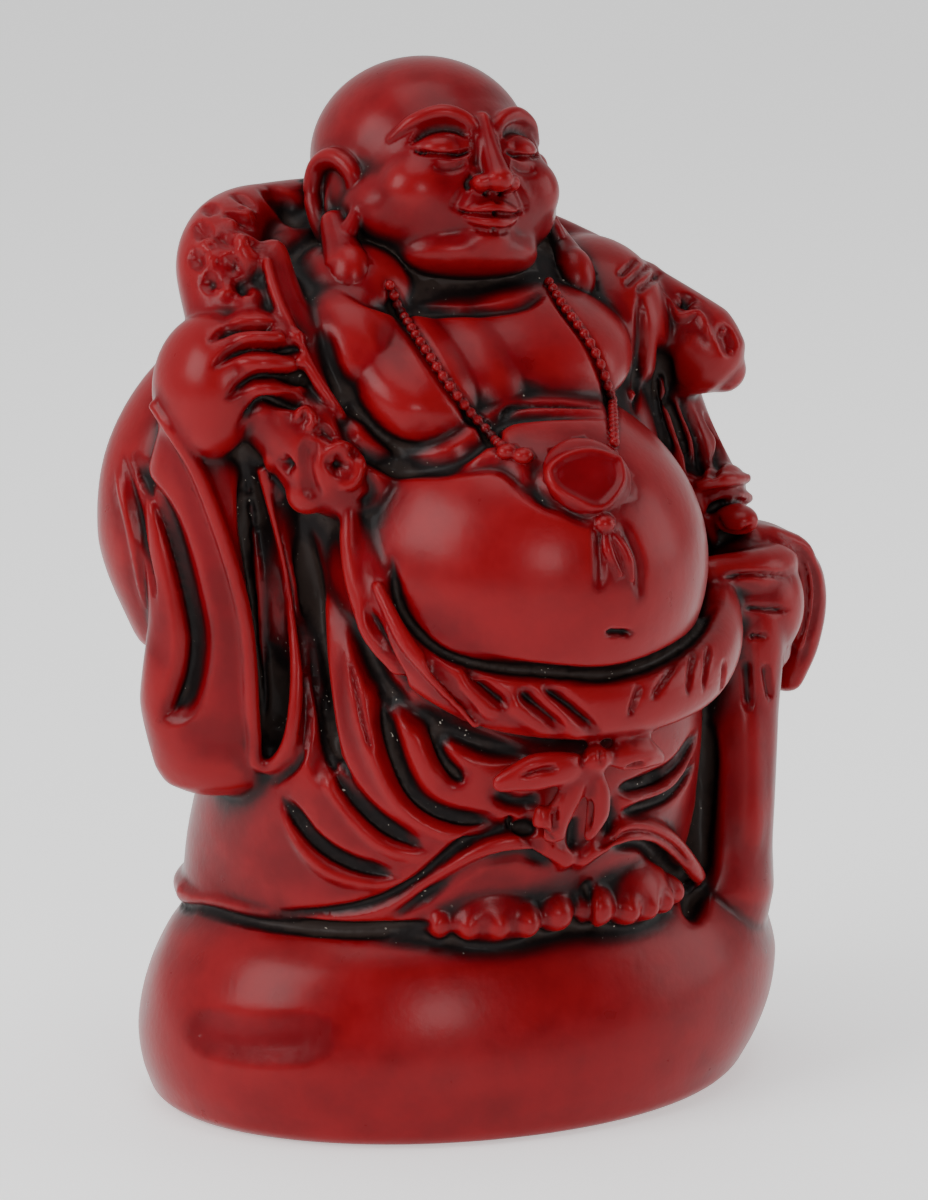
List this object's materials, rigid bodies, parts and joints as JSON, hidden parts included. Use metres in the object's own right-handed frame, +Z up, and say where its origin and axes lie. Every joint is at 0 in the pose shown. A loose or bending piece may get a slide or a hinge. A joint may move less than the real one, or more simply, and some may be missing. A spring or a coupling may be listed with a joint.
{
  "type": "laughing buddha figurine",
  "caption": "Small cast resin figurine of a big-bellied monk in an open robe, standing on his sack with a gnarled branch across his shoulders.",
  "frame": {"origin": "middle of the flat underside of the sack", "axes": "+Z up, he faces -Y, +X towards his left"},
  "size_m": [0.0946, 0.0728, 0.1268],
  "materials": {
    "red_resin": "semi-gloss deep red with dark brown in the hollows"
  },
  "bodies": {
    "root": {"buddha_figurine": "red_resin"}
  },
  "joints": []
}
